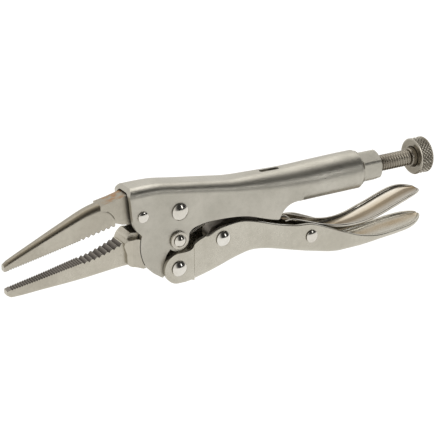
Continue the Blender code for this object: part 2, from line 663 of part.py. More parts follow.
def tension_spring(parts):
    """Wire from the eye in the jaw's tab, through the coils, to the slot in the spine."""
    run_x = SPRING_END[0] - SPRING_START[0]
    run_z = SPRING_END[1] - SPRING_START[1]
    length = hypot(run_x, run_z)
    along = Vector((run_x / length, 0.0, run_z / length))
    across = Vector((-along.z, 0.0, along.x))
    side = Vector((0.0, 1.0, 0.0))
    beside = -1.3 - GAP - SPRING_WIRE_R
    points = [Vector((SPRING_EYE[0], 1.9, SPRING_EYE[1])),
              Vector((SPRING_EYE[0], beside, SPRING_EYE[1])),
              Vector((SPRING_EYE[0] + 4.0, beside, SPRING_EYE[1] + 1.6))]
    start = Vector((SPRING_START[0], 0.0, SPRING_START[1]))
    for i in range(SPRING_TURNS * TURN_POINTS + 1):
        angle = 2.0 * pi * i / TURN_POINTS
        t = i / (SPRING_TURNS * TURN_POINTS)
        points.append(start + along * (length * t)
                      + (side * -cos(angle) + across * sin(angle)) * SPRING_COIL_R)
    points += [Vector((SPRING_HOOK[0] - 5.2, -0.4, SPRING_HOOK[1] - 3.4)),
               Vector((SPRING_HOOK[0] - 1.2, 0.0, SPRING_HOOK[1] - 1.2)),
               Vector((SPRING_HOOK[0], 0.0, SPRING_HOOK[1])),
               Vector((SPRING_HOOK[0] + 2.6, 0.0, SPRING_HOOK[1] + 0.3))]
    curve = bpy.data.curves.new("tension_spring", "CURVE")
    curve.dimensions = "3D"
    curve.bevel_depth = SPRING_WIRE_R * MM
    curve.bevel_resolution = 1
    curve.use_fill_caps = True
    spline = curve.splines.new("POLY")
    spline.points.add(len(points) - 1)
    for point, place in zip(spline.points, points):
        point.co = (*(place * MM), 1.0)
    guide = add_object("spring_curve", curve, parts)
    mesh = applied(guide)
    bpy.data.objects.remove(guide, do_unlink=True)
    bm = bmesh.new()
    bm.from_mesh(mesh)
    bmesh.ops.recalc_face_normals(bm, faces=bm.faces)
    bm.to_mesh(mesh)
    bm.free()
    return add_object("tension_spring", mesh, parts)


# ---------------------------------------------------------------- assembly

def set_origin(thing, pivot):
    """Moves the object's origin to its joint's axis and leaves its mesh in place."""
    place = Vector((pivot[0] * MM, 0.0, pivot[1] * MM))
    thing.data.transform(Matrix.Translation(thing.location - place))
    thing.location = place


def build():
    clear_scene()
    parts = new_collection("locking_pliers")
    cutters = new_collection("cutters")
    nickel = material("body_nickel", (0.62, 0.60, 0.54), 0.38)
    forged = material("forged_nickel", (0.60, 0.57, 0.51), 0.42)
    handle_metal = material("handle_nickel", (0.64, 0.62, 0.56), 0.34)
    lever_metal = material("lever_nickel", (0.52, 0.47, 0.39), 0.30)
    bright = material("rivet_bright", (0.74, 0.72, 0.67), 0.14)
    machined = material("screw_steel", (0.50, 0.46, 0.40), 0.32)
    knurled = material("knob_steel", (0.58, 0.55, 0.49), 0.30)
    dark = material("spring_steel", (0.22, 0.20, 0.18), 0.40)
    inner = material("link_steel", (0.35, 0.33, 0.30), 0.50)

    finish(upper_body(parts, cutters), nickel)
    finish(upper_jaw(parts, cutters), forged)
    jaw = finish(lower_jaw(parts, cutters), forged)
    handle = finish(lower_handle(parts, cutters), handle_metal)
    lever = finish(release_lever(parts, cutters), lever_metal)
    link = finish(toggle_link(parts, cutters), inner)
    set_origin(jaw, JAW_PIVOT)
    set_origin(handle, HANDLE_PIVOT)
    set_origin(lever, LEVER_PIVOT)
    set_origin(link, TOGGLE_PIVOT)

    plate_face = BODY_HALF + GAP
    finish(rivet("jaw_rivet_front", JAW_RIVET_FRONT, FRONT_PIN_R, 2.6, 0.55, plate_face - 0.1, parts), bright)
    finish(rivet("jaw_rivet_rear", JAW_RIVET_REAR, PIN_R, 4.1, 1.3, plate_face, parts), bright)
    finish(rivet("jaw_pivot_rivet", JAW_PIVOT, PIVOT_PIN_R, 2.9, 1.2, plate_face + WASHER_THICK + GAP, parts), bright)
    finish(rivet("handle_pivot_rivet", HANDLE_PIVOT, PIN_R, 3.7, 1.4, EAR_OUTER + GAP, parts), bright)
    finish(rivet("toggle_rivet", TOGGLE_PIVOT, PIN_R, 3.7, 1.4, CHANNEL_HALF + GAP, parts), bright)
    finish(rivet("release_lever_pin", LEVER_PIVOT, LEVER_PIN_R, 3.1, 0.7, CHANNEL_HALF + GAP, parts), bright)
    finish(washer("pivot_washer_near", -1, parts), bright)
    finish(washer("pivot_washer_far", 1, parts), bright)
    finish(adjusting_screw(parts), machined)
    finish(screw_knob(parts), knurled)
    finish(screw_tip(parts), machined)
    finish(tension_spring(parts), dark)


build()
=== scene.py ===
from math import atan2, ceil, cos, hypot, pi, radians, sin

import bmesh
import bpy
from mathutils import Matrix, Vector


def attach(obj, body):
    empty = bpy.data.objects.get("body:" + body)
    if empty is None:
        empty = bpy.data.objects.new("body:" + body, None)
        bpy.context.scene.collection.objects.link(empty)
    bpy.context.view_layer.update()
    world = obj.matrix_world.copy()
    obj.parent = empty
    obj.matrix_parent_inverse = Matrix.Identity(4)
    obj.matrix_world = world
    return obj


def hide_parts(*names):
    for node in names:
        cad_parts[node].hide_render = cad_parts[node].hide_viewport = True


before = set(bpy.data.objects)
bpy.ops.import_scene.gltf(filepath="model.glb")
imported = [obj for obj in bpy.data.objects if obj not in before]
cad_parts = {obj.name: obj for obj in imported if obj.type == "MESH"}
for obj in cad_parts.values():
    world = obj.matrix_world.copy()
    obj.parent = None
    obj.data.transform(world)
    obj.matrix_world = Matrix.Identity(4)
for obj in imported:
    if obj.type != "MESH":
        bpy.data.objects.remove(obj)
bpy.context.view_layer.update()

# Lengths are in millimetres and the meshes are made in metres, as in the CAD source.
MM = 0.001
GAP = 0.3

# Pivots and axes, (X, Z) in the tool's mid plane
JAW_PIVOT = (-30.6, 25.3)
HANDLE_PIVOT = (-31.4, 12.0)
TOGGLE_PIVOT = (-7.7, 21.4)
LEVER_PIVOT = (41.0, 12.2)
JAW_RIVET_FRONT = (-48.2, 39.9)
JAW_RIVET_REAR = (-29.6, 38.8)
SCREW_Z = 38.0

# Body
SHEET = 2.1
BODY_HALF = 7.8
SEAM_R = 19.2
LOBE_R = 5.6
TUBE_R = 9.4
TUBE_END = 70.8
NECK_APOTHEM = 6.9
NECK_CORNER_R = 7.75
NECK_END = 82.9

# Screw and knob
SCREW_R = 4.0
SCREW_FRONT = 38.0
THREAD_PITCH = 1.5
THREAD_DEPTH = 0.62
COLLAR_START = 102.4
COLLAR_R = 4.9
COLLAR_END = 106.2
TENON_R = 3.5                   # the screw's end, inside the knob
KNOB_R = 9.0
KNOB_START = 105.0
KNOB_END = 112.5
KNOB_BORE_R = TENON_R + GAP
KNURL_ROWS = 34
KNURLS_ROUND = 30
KNURL_DEPTH = 0.7

# Jaws
SHANK_HALF = 4.9
UPPER_SHANK_HALF = 3.8
CHEEK_HALF = 7.7
CHEEK_FRONT_HALF = 4.7
CHEEK_FLARE_END = -53.6
JAW_BOSS_R = 4.3
COARSE_FROM = -77.0
COARSE_PITCH = 2.4
COARSE_DEPTH = 0.95
FINE_PITCH = 1.15
FINE_DEPTH = 0.4

# Lower handle and release lever
HANDLE_SHEET = 1.8
EAR_OUTER = 9.9
EAR_INNER = EAR_OUTER - HANDLE_SHEET
EAR_R = 7.4
CHANNEL_HALF = 8.9
LEVER_SHEET = 1.5

# Rivets
PIN_R = 2.7
HOLE_R = PIN_R + GAP
FRONT_PIN_R = 2.0
PIVOT_PIN_R = 2.3
LEVER_PIN_R = 2.0
WASHER_R = 4.3
WASHER_THICK = 1.1
CUTTER_HALF = 15.0              # half length of the bars that cut the rivets' holes

# Spring and the places it hooks on
SPRING_EYE = (-24.0, 23.2)
SPRING_HOLE_R = 0.95
SPRING_WIRE_R = 0.5
SPRING_COIL_R = 1.75
SPRING_TURNS = 19
SPRING_START = (-12.5, 28.4)
SPRING_END = (9.5, 40.2)
SPRING_HOOK = (20.6, 44.9)
TAB_HALF = 1.3                  # half the thickness of the lower jaw's tab

RING_STEPS = 12                 # steps in each quarter round of a section
EDGE_STEPS = 2                  # steps across a jaw's sharp edge
BACK_STEPS = 8                  # steps round each side of a jaw's back
TURN_STEPS = 72                 # sides of a turned piece
SCREW_STEPS = 56                # sides of the screw
ROWS_A_PITCH = 9.0              # rings in each turn of the thread
KNURL_STEPS = 8                 # sides of the knob for each diamond round it


# ---------------------------------------------------------------- mesh helpers

def add_object(name, mesh):
    thing = bpy.data.objects.new(name, mesh)
    bpy.context.scene.collection.objects.link(thing)
    return thing


def mesh_from_bmesh(name, bm):
    bmesh.ops.recalc_face_normals(bm, faces=bm.faces)
    mesh = bpy.data.meshes.new(name)
    bm.to_mesh(mesh)
    bm.free()
    return mesh


def applied(thing):
    """The object's mesh with its modifiers, welded."""
    bpy.context.view_layer.update()
    evaluated = thing.evaluated_get(bpy.context.evaluated_depsgraph_get())
    mesh = bpy.data.meshes.new_from_object(evaluated)
    bm = bmesh.new()
    bm.from_mesh(mesh)
    bmesh.ops.remove_doubles(bm, verts=bm.verts, dist=0.001 * MM)
    bmesh.ops.recalc_face_normals(bm, faces=bm.faces)
    bm.to_mesh(mesh)
    bm.free()
    return mesh


def boolean(thing, other, operation):
    """Applies one exact Boolean and deletes the cutter."""
    step = thing.modifiers.new(operation.title(), "BOOLEAN")
    step.operation = operation
    step.solver = "EXACT"
    step.object = other
    mesh = applied(thing)
    thing.modifiers.remove(step)
    thing.data = mesh
    bpy.data.objects.remove(other, do_unlink=True)
    return thing


def bevelled(thing, width, segments=2, angle=35.0):
    step = thing.modifiers.new("Bevel", "BEVEL")
    step.width = width * MM
    step.segments = segments
    step.limit_method = "ANGLE"
    step.angle_limit = radians(angle)
    step.use_clamp_overlap = True
    mesh = applied(thing)
    thing.modifiers.remove(step)
    thing.data = mesh
    return thing


def merged_flats(thing):
    """Joins the faces that lie in one plane, so a flat side shades flat."""
    bm = bmesh.new()
    bm.from_mesh(thing.data)
    bmesh.ops.dissolve_limit(bm, angle_limit=radians(0.4), verts=bm.verts, edges=bm.edges)
    bm.to_mesh(thing.data)
    bm.free()
    return thing


def finish(thing, node, body, surface, smooth_angle=38.0):
    """Shades the piece, gives it its metal, and puts it in the CAD node's place."""
    thing.data.materials.clear()
    thing.data.materials.append(surface)
    thing.data.shade_smooth()
    thing.data.set_sharp_from_angle(angle=radians(smooth_angle))
    even = thing.modifiers.new("Even normals", "WEIGHTED_NORMAL")
    even.keep_sharp = True
    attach(thing, body)
    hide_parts(node)
    return thing


def arc(centre, radius, start, end, steps):
    """Points along an arc in the XZ plane, angles in degrees from +X to +Z."""
    points = []
    for i in range(steps + 1):
        angle = radians(start + (end - start) * i / steps)
        points.append((centre[0] + radius * cos(angle), centre[1] + radius * sin(angle)))
    return points


def flowing(points, steps=4):
    """The same points with a smooth curve through them."""
    curve = []
    last = len(points) - 1
    for i in range(last):
        a, b, c, d = points[max(i - 1, 0)], points[i], points[i + 1], points[min(i + 2, last)]
        for k in range(steps):
            t = k / steps
            curve.append(tuple(0.5 * (2 * b[n] + (c[n] - a[n]) * t
                                      + (2 * a[n] - 5 * b[n] + 4 * c[n] - d[n]) * t * t
                                      + (3 * b[n] - a[n] - 3 * c[n] + d[n]) * t ** 3) for n in (0, 1)))
    return curve + [points[-1]]


def plate(name, outline, low, high):
    """A flat outline in XZ between two values of Y."""
    curve = bpy.data.curves.new(name, "CURVE")
    curve.dimensions = "2D"
    curve.fill_mode = "BOTH"
    curve.extrude = 0.5 * (high - low) * MM
    spline = curve.splines.new("POLY")
    spline.points.add(len(outline) - 1)
    for point, (x, z) in zip(spline.points, outline):
        point.co = (x * MM, z * MM, 0.0, 1.0)
    spline.use_cyclic_u = True
    guide = add_object(name + "_curve", curve)
    mesh = applied(guide)
    bpy.data.objects.remove(guide, do_unlink=True)
    mesh.transform(Matrix.Translation((0.0, 0.5 * (low + high) * MM, 0.0)) @ Matrix.Rotation(pi / 2, 4, "X"))
    return add_object(name, mesh)


def grid_round(name, rows, closed_ends=True):
    """A closed surface through rows of points that each go round the piece once."""
    bm = bmesh.new()
    made = [[bm.verts.new(Vector(point) * MM) for point in row] for row in rows]
    count = len(made[0])
    for row, following in zip(made, made[1:]):
        for i in range(count):
            j = (i + 1) % count
            bm.faces.new((row[i], row[j], following[j], following[i]))
    if closed_ends:
        bm.faces.new(made[0])
        bm.faces.new(made[-1])
    else:
        for i in range(count):
            j = (i + 1) % count
            bm.faces.new((made[-1][i], made[-1][j], made[0][j], made[0][i]))
    return add_object(name, mesh_from_bmesh(name, bm))


def prism(name, outline, low, high):
    """A flat outline in XY between two values of Z."""
    bm = bmesh.new()
    under, over = [[bm.verts.new((x * MM, y * MM, z * MM)) for x, y in outline] for z in (low, high)]
    bm.faces.new(under)
    bm.faces.new(over)
    for i in range(len(outline)):
        j = (i + 1) % len(outline)
        bm.faces.new((under[i], under[j], over[j], over[i]))
    return add_object(name, mesh_from_bmesh(name, bm))


def turned(name, profile, axis, place, steps=TURN_STEPS):
    """A profile of (radius, height) points turned about Y or X; it closes on itself if it has a bore."""
    rows = []
    for radius, height in profile:
        row = []
        for i in range(steps):
            angle = 2.0 * pi * i / steps
            across, up = max(radius, 0.01) * cos(angle), max(radius, 0.01) * sin(angle)
            if axis == "X":
                row.append((place[0] + height, across, place[1] + up))
            else:
                row.append((place[0] + across, height, place[1] + up))
        rows.append(row)
    return grid_round(name, rows, profile[0][0] <= 0.01)


def pin_cutter(name, radius, half, place):
    """A plain round bar along Y that cuts a rivet's hole."""
    return turned(name, [(0.0, -half), (radius, -half), (radius, half), (0.0, half)], "Y", place, 48)


def box(name, low, high):
    bm = bmesh.new()
    size = [(b - a) * MM for a, b in zip(low, high)]
    middle = [0.5 * (a + b) * MM for a, b in zip(low, high)]
    bmesh.ops.create_cube(bm, size=1.0, matrix=Matrix.Translation(middle) @ Matrix.Diagonal((*size, 1.0)))
    return add_object(name, mesh_from_bmesh(name, bm))


def blend(table, x):
    """Smooth interpolation of a table of (X, value) pairs."""
    if x <= table[0][0]:
        return table[0][1]
    for i in range(len(table) - 1):
        (x0, v0), (x1, v1) = table[i], table[i + 1]
        if x <= x1:
            before = table[max(i - 1, 0)]
            after = table[min(i + 2, len(table) - 1)]
            slope0 = (v1 - before[1]) / max(x1 - before[0], 0.001)
            slope1 = (after[1] - v0) / max(after[0] - x0, 0.001)
            t = (x - x0) / (x1 - x0)
            span = x1 - x0
            return ((2 * t ** 3 - 3 * t ** 2 + 1) * v0 + (t ** 3 - 2 * t ** 2 + t) * span * slope0
                    + (3 * t ** 2 - 2 * t ** 3) * v1 + (t ** 3 - t ** 2) * span * slope1)
    return table[-1][1]


def spread(start, end, step):
    """Even stations from start to end, no further apart than step."""
    count = max(1, ceil((end - start) / step))
    return [start + (end - start) * i / count for i in range(count + 1)]


def round_box_ring(x, half, low, high, r_low, r_high, low_steps=RING_STEPS, high_steps=RING_STEPS):
    """A closed YZ section with round corners at one X."""
    r_low = max(0.05, min(r_low, half - 0.02, 0.5 * (high - low) - 0.01))
    r_high = max(0.05, min(r_high, half - 0.02, 0.5 * (high - low) - 0.01))
    corners = (
        (half - r_high, high - r_high, r_high, 0.0, high_steps),
        (-half + r_high, high - r_high, r_high, 90.0, high_steps),
        (-half + r_low, low + r_low, r_low, 180.0, low_steps),
        (half - r_low, low + r_low, r_low, 270.0, low_steps),
    )
    ring = []
    for y, z, radius, start, steps in corners:
        for i in range(steps + 1):
            angle = radians(start + 90.0 * i / steps)
            ring.append((x, y + radius * cos(angle), z + radius * sin(angle)))
    return ring


def neck_ring(x, apothem, corner):
    """A hexagon with turned corners about the screw's axis, flats facing +Y and -Y."""
    ring = []
    count = 4 * (RING_STEPS + 1)
    for i in range(count):
        angle = 2.0 * pi * (i + 0.5) / count
        sector = (angle + pi / 6) % (pi / 3) - pi / 6
        radius = min(apothem / cos(sector), corner)
        ring.append((x, radius * cos(angle), SCREW_Z + radius * sin(angle)))
    return ring


def channel_ring(x, half, low, rim, sheet, corner, depth, sweep=1.0):
    """A closed U section, open at the top, at one X.

    depth limits how deep its trough is, and sweep stretches its corners across the section.
    """
    inner = half - sheet
    trough_floor = max(low + sheet, rim - depth)
    outer_r = max(0.3, min(corner, half - 0.2, rim - low - 0.1))
    inner_r = max(0.15, min(corner - 0.6 * sheet, inner - 0.1, rim - trough_floor - 0.05))
    lip = min(0.3, 0.22 * sheet)
    outer_y = min(outer_r * sweep, half - 0.1)
    inner_y = min(inner_r * sweep, inner - 0.05)
    inner_lip = min(lip, 0.4 * (rim - trough_floor))
    ring = [(x, half - lip, rim), (x, half, rim - lip)]
    for centre, start in ((half - outer_y, 0.0), (-half + outer_y, -90.0)):
        for i in range(RING_STEPS):
            angle = radians(start - 90.0 * i / (RING_STEPS - 1))
            ring.append((x, centre + outer_y * cos(angle), low + outer_r + outer_r * sin(angle)))
    ring += [(x, -half, rim - lip), (x, -half + lip, rim)]
    ring += [(x, -inner - lip, rim), (x, -inner, rim - inner_lip)]
    for centre, start in ((-inner + inner_y, 180.0), (inner - inner_y, 270.0)):
        for i in range(RING_STEPS):
            angle = radians(start + 90.0 * i / (RING_STEPS - 1))
            ring.append((x, centre + inner_y * cos(angle), trough_floor + inner_r + inner_r * sin(angle)))
    ring += [(x, inner, rim - inner_lip), (x, inner + lip, rim)]
    return ring


# ---------------------------------------------------------------- upper body

BODY_TOP = ((-58.0, 53.1), (-40.0, 53.0), (-29.0, 51.4), (-12.0, 48.9), (0.0, 47.3),
            (15.0, 46.9), (30.0, 46.7), (45.0, 47.1), (60.0, 47.4), (TUBE_END, 47.4))
BODY_WIDTH = ((-70.0, BODY_HALF), (-30.0, BODY_HALF), (-10.0, BODY_HALF), (0.0, 7.9), (15.0, 8.4),
              (30.0, 8.9), (45.0, TUBE_R), (TUBE_END, TUBE_R))
BODY_ROUND = ((-58.0, 4.6), (-12.0, 4.8), (0.0, 5.4), (15.0, 6.9), (30.0, 8.3),
              (45.0, 9.2), (TUBE_END, 9.35))
TUBE_BOTTOM = 28.5
TUBE_TOP = 47.4
TAIL_ROUND = 8.8                # corner radius of the section where the tube rolls in at its end


def body_outline():
    """The body seen from its side, from its front edge round to its tail."""
    front = [(-52.9, 60.0)] + flowing([(-52.9, 53.0), (-53.6, 51.6), (-54.4, 49.8), (-54.1, 46.9),
                                       (-53.3, 38.6), (-51.9, 34.2), (-48.95, 31.0)])
    seam = arc(JAW_PIVOT, SEAM_R, 162.6, 215.0, 24)
    foot = flowing([(-43.4, 11.4), (-40.5, 9.3), (-39.3, 8.5), (-38.2, 9.0), (-37.6, 16.8), (-36.4, 19.6)], 2)
    lobe = arc(JAW_PIVOT, LOBE_R, 222.0, 345.0, 20)
    lower = flowing([(-25.0, 27.4), (-22.8, 29.3), (-18.3, 30.5), (-13.5, 30.9), (-4.0, 30.6),
                     (3.4, 29.8), (8.6, 28.6), (13.3, 27.0), (18.2, 25.4), (22.4, 24.4)])
    scoop = flowing([(23.1, 24.7), (24.0, 26.6), (25.6, 28.8), (27.6, 30.4), (30.4, 31.5), (34.8, 31.9),
                     (36.9, 31.2)]) + [(37.8, 26.0)]
    return front + seam + foot + lobe + lower + scoop + [(95.0, 26.0), (95.0, 60.0)]


def body_shell(name, inset):
    """The outer form, or with an inset the hollow inside it."""
    rings = []
    start = -58.0 if inset == 0.0 else -70.0
    channel_low = 2.0 if inset == 0.0 else -10.0
    for x in [start] + spread(-54.0, 30.0, 2.0):
        rings.append(round_box_ring(x, blend(BODY_WIDTH, x) - inset, channel_low,
                                    blend(BODY_TOP, x) - inset, 0.5,
                                    blend(BODY_ROUND, x) - 0.7 * inset))
    for x in spread(36.5, TUBE_END - 1.3 - inset, 2.5):
        rings.append(round_box_ring(x, blend(BODY_WIDTH, x) - inset, TUBE_BOTTOM + inset,
                                    blend(BODY_TOP, x) - inset, blend(BODY_ROUND, x) - 0.7 * inset,
                                    blend(BODY_ROUND, x) - 0.7 * inset))
    if inset == 0.0:
        for back, drop in ((0.85, 0.12), (0.5, 0.32), (0.2, 0.62), (0.0, 1.0)):
            rings.append(round_box_ring(TUBE_END - back, TUBE_R - drop, TUBE_BOTTOM + drop, TUBE_TOP - drop,
                                        TAIL_ROUND, TAIL_ROUND))
        for on, spare in ((0.25, 1.5), (0.7, 0.8), (1.3, 0.3), (1.9, 0.05)):
            rings.append(neck_ring(TUBE_END + on, NECK_APOTHEM + spare, NECK_CORNER_R + 0.8 * spare))
        rings.append(neck_ring(NECK_END - 1.1, NECK_APOTHEM, NECK_CORNER_R))
        rings.append(neck_ring(NECK_END - 0.75, NECK_APOTHEM, NECK_CORNER_R - 0.25))
        rings.append(neck_ring(NECK_END - 0.3, NECK_APOTHEM - 0.15, NECK_CORNER_R - 0.75))
        rings.append(neck_ring(NECK_END, NECK_APOTHEM - 0.8, NECK_CORNER_R - 1.5))
    return grid_round(name, rings)


def upper_body():
    body = body_shell("body", 0.0)
    boolean(body, plate("body_side", body_outline(), -20.0, 20.0), "INTERSECT")
    boolean(body, body_shell("body_hollow", SHEET), "DIFFERENCE")
    bore = turned("neck_bore", [(0.0, -30.0), (SCREW_R + GAP, -30.0), (SCREW_R + GAP, 30.0), (0.0, 30.0)],
                  "X", (85.0, SCREW_Z), 60)
    boolean(body, bore, "DIFFERENCE")
    slot = bevelled(box("slot", (16.8, -1.3, 40.0), (27.2, 1.3, 52.0)), 1.0, 3)
    boolean(body, slot, "DIFFERENCE")
    for place, pin in ((JAW_RIVET_FRONT, FRONT_PIN_R), (JAW_RIVET_REAR, PIN_R), (JAW_PIVOT, PIVOT_PIN_R)):
        boolean(body, pin_cutter("body_hole", pin + GAP, CUTTER_HALF, place), "DIFFERENCE")
    return bevelled(merged_flats(body), 0.32, 2, 50.0)


# ---------------------------------------------------------------- jaws

UPPER_EDGE = ((-112.5, 25.3), (-97.0, 28.5), (-77.0, 32.9), (-60.0, 36.8))
UPPER_BACK = ((-112.5, 28.3), (-110.5, 29.7), (-97.0, 35.9), (-84.0, 41.7), (-72.0, 46.6), (-60.0, 49.0))
LOWER_EDGE = ((-111.9, 16.1), (-110.5, 16.6), (-94.2, 19.4), (-79.0, 22.2), (-70.7, 23.6),
              (-63.0, 25.9), (-56.0, 28.6))
LOWER_BACK = ((-111.9, 14.0), (-110.0, 12.7), (-94.5, 13.3), (-78.0, 14.2), (-60.0, 16.0), (-56.0, 16.3))
NOSE_WIDTH = ((-112.5, 1.6), (-110.5, 1.9), (-95.0, 2.5), (-76.0, 3.4), (-57.0, 4.4))


def tooth_stations(start, end):
    """X stations along a jaw's edge, each with how deep the edge is cut there."""
    stations = [(start, 0.0), (start + 0.6, 0.0)]
    x = start + 2.0
    deep = False
    while x < end - 0.6:
        coarse = x > COARSE_FROM
        pitch = COARSE_PITCH if coarse else FINE_PITCH
        depth = COARSE_DEPTH if coarse else FINE_DEPTH
        if deep:
            stations.append((x, depth))
        else:
            stations += [(x - 0.09 * pitch, 0.0), (x + 0.09 * pitch, 0.0)]
        deep = not deep
        x += 0.5 * pitch
    stations.append((end, 0.0))
    return stations


def upper_jaw():
    rings = []
    for x, depth in tooth_stations(-112.5, -60.3):
        top = blend(UPPER_BACK, x)
        if x > -66.5:
            top = min(top, 39.6 + 7.6 * (max(0.0, 1.0 - ((x + 66.5) / 6.4) ** 2)) ** 0.5)
        half = blend(NOSE_WIDTH, x)
        rings.append(round_box_ring(x, half, blend(UPPER_EDGE, x) + depth, top, 0.25, 0.8 * half,
                                    EDGE_STEPS, BACK_STEPS))
    jaw = grid_round("jaw_upper", rings)
    top = flowing([(-67.0, 47.5), (-61.0, 48.6), (-54.0, 50.1), (-48.0, 50.6), (-40.0, 50.4), (-33.0, 49.4),
                   (-28.0, 48.4), (-23.5, 47.4)])
    bottom = [(-22.6, 46.2), (-22.6, 36.0), (-24.2, 34.7), (-38.0, 34.7), (-50.0, 35.6), (-56.5, 36.6),
              (-61.0, 38.4)]
    shank = plate("shank", [(-67.0, 41.0)] + top + bottom, -UPPER_SHANK_HALF, UPPER_SHANK_HALF)
    boolean(jaw, bevelled(shank, 0.6, 3, 60.0), "UNION")
    for place, pin in ((JAW_RIVET_FRONT, FRONT_PIN_R), (JAW_RIVET_REAR, PIN_R)):
        boolean(jaw, pin_cutter("shank_hole", pin + GAP, CUTTER_HALF, place), "DIFFERENCE")
    return jaw


def lower_jaw():
    rings = []
    for x, depth in tooth_stations(-111.9, -54.5):
        half = blend(NOSE_WIDTH, x)
        rings.append(round_box_ring(x, half, blend(LOWER_BACK, x), blend(LOWER_EDGE, x) - depth,
                                    0.42 * half, 0.25, BACK_STEPS, EDGE_STEPS))
    jaw = grid_round("jaw_lower", rings)
    seam = arc(JAW_PIVOT, SEAM_R + GAP, 168.2, 212.0, 24)
    cheek = flowing([(-56.7, 26.6), (-56.1, 28.2), (-54.2, 29.6), (-51.6, 30.0)], 3) + seam
    cheek += flowing([(-48.6, 14.9), (-52.3, 16.5), (-54.9, 17.2), (-55.6, 19.0), (-55.7, 22.6)], 3)
    block = plate("cheek", cheek, -CHEEK_HALF, CHEEK_HALF)
    for side in (-1, 1):
        flare = [(-60.0, 9.0 * side), (-60.0, CHEEK_FRONT_HALF * side), (-57.5, CHEEK_FRONT_HALF * side),
                 (CHEEK_FLARE_END, CHEEK_HALF * side), (CHEEK_FLARE_END, 9.0 * side)]
        boolean(block, prism("cheek_flare", flare, 10.0, 35.0), "DIFFERENCE")
    boolean(jaw, bevelled(block, 0.35, 2, 20.0), "UNION")
    tongue = [(-55.0, 18.0), (-55.0, 30.0), (-54.5, 31.4), (-53.2, 32.3), (-48.0, 31.6), (-42.0, 30.6),
              (-38.2, 31.2)]
    tongue += arc(JAW_PIVOT, 7.5, 125.0, 32.0, 12)
    tongue += [(-23.6, 26.6), (-22.4, 24.4), (-22.6, 21.6), (-24.2, 19.4), (-25.2, 16.2)]
    tongue += arc(HANDLE_PIVOT, 6.2, 20.0, -120.0, 16)
    tongue += [(-38.0, 8.3), (-41.2, 10.6), (-44.4, 13.0), (-47.6, 15.2), (-53.0, 17.4)]
    boolean(jaw, plate("tongue", tongue, -SHANK_HALF, SHANK_HALF), "UNION")
    boolean(jaw, pin_cutter("jaw_boss", JAW_BOSS_R, CHEEK_HALF, HANDLE_PIVOT), "UNION")
    for side in (-1, 1):
        low, high = sorted((TAB_HALF * side, 8.0 * side))
        boolean(jaw, box("tab_notch", (-25.4, low, 17.8), (-20.0, high, 28.0)), "DIFFERENCE")
    boolean(jaw, pin_cutter("jaw_hole", HOLE_R, CUTTER_HALF, HANDLE_PIVOT), "DIFFERENCE")
    boolean(jaw, pin_cutter("jaw_hole", PIVOT_PIN_R + GAP, CUTTER_HALF, JAW_PIVOT), "DIFFERENCE")
    boolean(jaw, pin_cutter("spring_hole", SPRING_HOLE_R, CUTTER_HALF, SPRING_EYE), "DIFFERENCE")
    return jaw


# ---------------------------------------------------------------- lower handle

FLAT_START = 58.0
FLAT_END = 70.0
HANDLE_END = 110.2
HANDLE_BACK = ((-24.0, 3.6), (-20.0, 4.2), (-12.0, 6.2), (0.0, 9.8), (8.0, 11.3), (15.0, 10.6),
               (22.0, 8.9), (36.6, 4.7), (48.4, 1.7), (53.0, 0.65), (FLAT_START, 0.0))
TAIL_BACK = ((FLAT_END, 0.0), (76.0, 0.4), (88.0, 1.5), (99.0, 2.6), (105.0, 3.5), (HANDLE_END, 4.5))
HANDLE_RIM = ((-24.0, 30.0), (-17.0, 24.4), (-9.5, 26.8), (-2.0, 27.9), (2.6, 27.9), (7.0, 27.0),
              (12.2, 25.4), (22.7, 21.8), (32.8, 19.3), (40.7, 18.4), (50.0, 14.7), (60.2, 10.2),
              (70.2, 6.3), (80.3, 4.3), (87.0, 4.3), (95.0, 5.0), (102.0, 5.8), (HANDLE_END, 7.2))
TAIL_WIDTH = ((92.0, CHANNEL_HALF), (99.0, 8.6), (104.0, 7.3), (107.5, 5.3), (109.4, 3.4), (HANDLE_END, 2.2))


def handle_back(x):
    if x < FLAT_START:
        return blend(HANDLE_BACK, x)
    if x <= FLAT_END:
        return 0.0
    return blend(TAIL_BACK, x)


